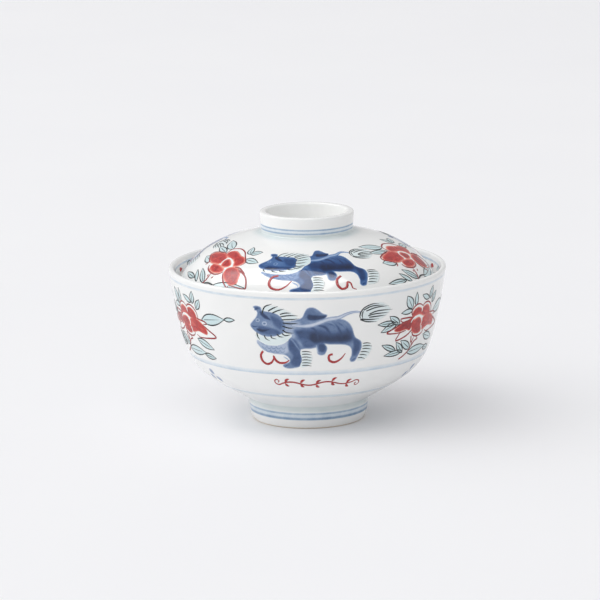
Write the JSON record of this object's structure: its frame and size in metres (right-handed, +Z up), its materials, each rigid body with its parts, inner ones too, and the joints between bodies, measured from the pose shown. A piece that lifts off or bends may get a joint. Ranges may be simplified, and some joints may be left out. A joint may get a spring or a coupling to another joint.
{
  "type": "lidded rice bowl",
  "caption": "Porcelain rice bowl on a foot ring, with a domed lid that sits inside its mouth and lifts off by a ring-shaped knob; hand-painted in blue, red and aqua.",
  "frame": {"origin": "centre of the foot ring's resting face", "axes": "+Z up along the axis that both pieces are turned about; -Y towards the front, where an animal is painted"},
  "size_m": [0.1194, 0.1194, 0.0907],
  "materials": {
    "porcelain_glaze": "clear glossy glaze over white porcelain, with a faint blue-green pool in the corners",
    "cobalt_underglaze": "cobalt washes and rings under the glaze, gloss",
    "red_enamel": "iron-red enamel fired on the glaze, soft gloss",
    "aqua_enamel": "thin translucent aqua enamel on the glaze, gloss",
    "dark_outline": "fine grey-black brush line on the glaze, soft gloss"
  },
  "bodies": {
    "bowl": {"bowl": "porcelain_glaze"},
    "lid": {"lid": "porcelain_glaze"}
  },
  "joints": [
    {"name": "lid_lift", "type": "slide", "parent": "bowl", "child": "lid", "axis": [0, 0, 1], "range_m": [0, 0.08]}
  ]
}
